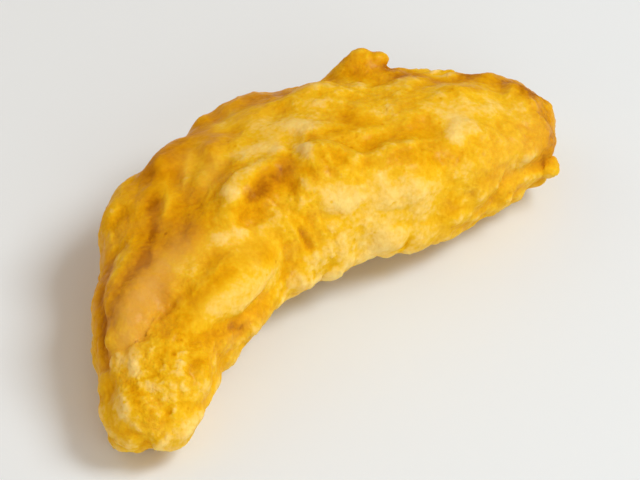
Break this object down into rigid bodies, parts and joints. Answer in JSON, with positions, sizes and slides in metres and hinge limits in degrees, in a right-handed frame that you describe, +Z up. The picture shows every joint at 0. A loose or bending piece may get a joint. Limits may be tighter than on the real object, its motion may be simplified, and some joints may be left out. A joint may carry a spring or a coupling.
{
  "type": "fried fish fillet",
  "caption": "Bent strip of battered, deep-fried white fish with a puffed, wrinkled golden crust, made to lie on a plate or tray.",
  "frame": {"origin": "middle of the bottom of the piece's bounding box, on the surface it lies on", "axes": "+Z up. The near, narrow end points to -Y and the far, broad end to +X, so the elbow is at the back left"},
  "size_m": [0.0924, 0.0902, 0.0323],
  "materials": {
    "fried_batter": "golden fried batter, pale on its puffs and browner in its furrows, with a faint sheen of oil"
  },
  "bodies": {
    "root": {"fillet": "fried_batter"}
  },
  "joints": []
}
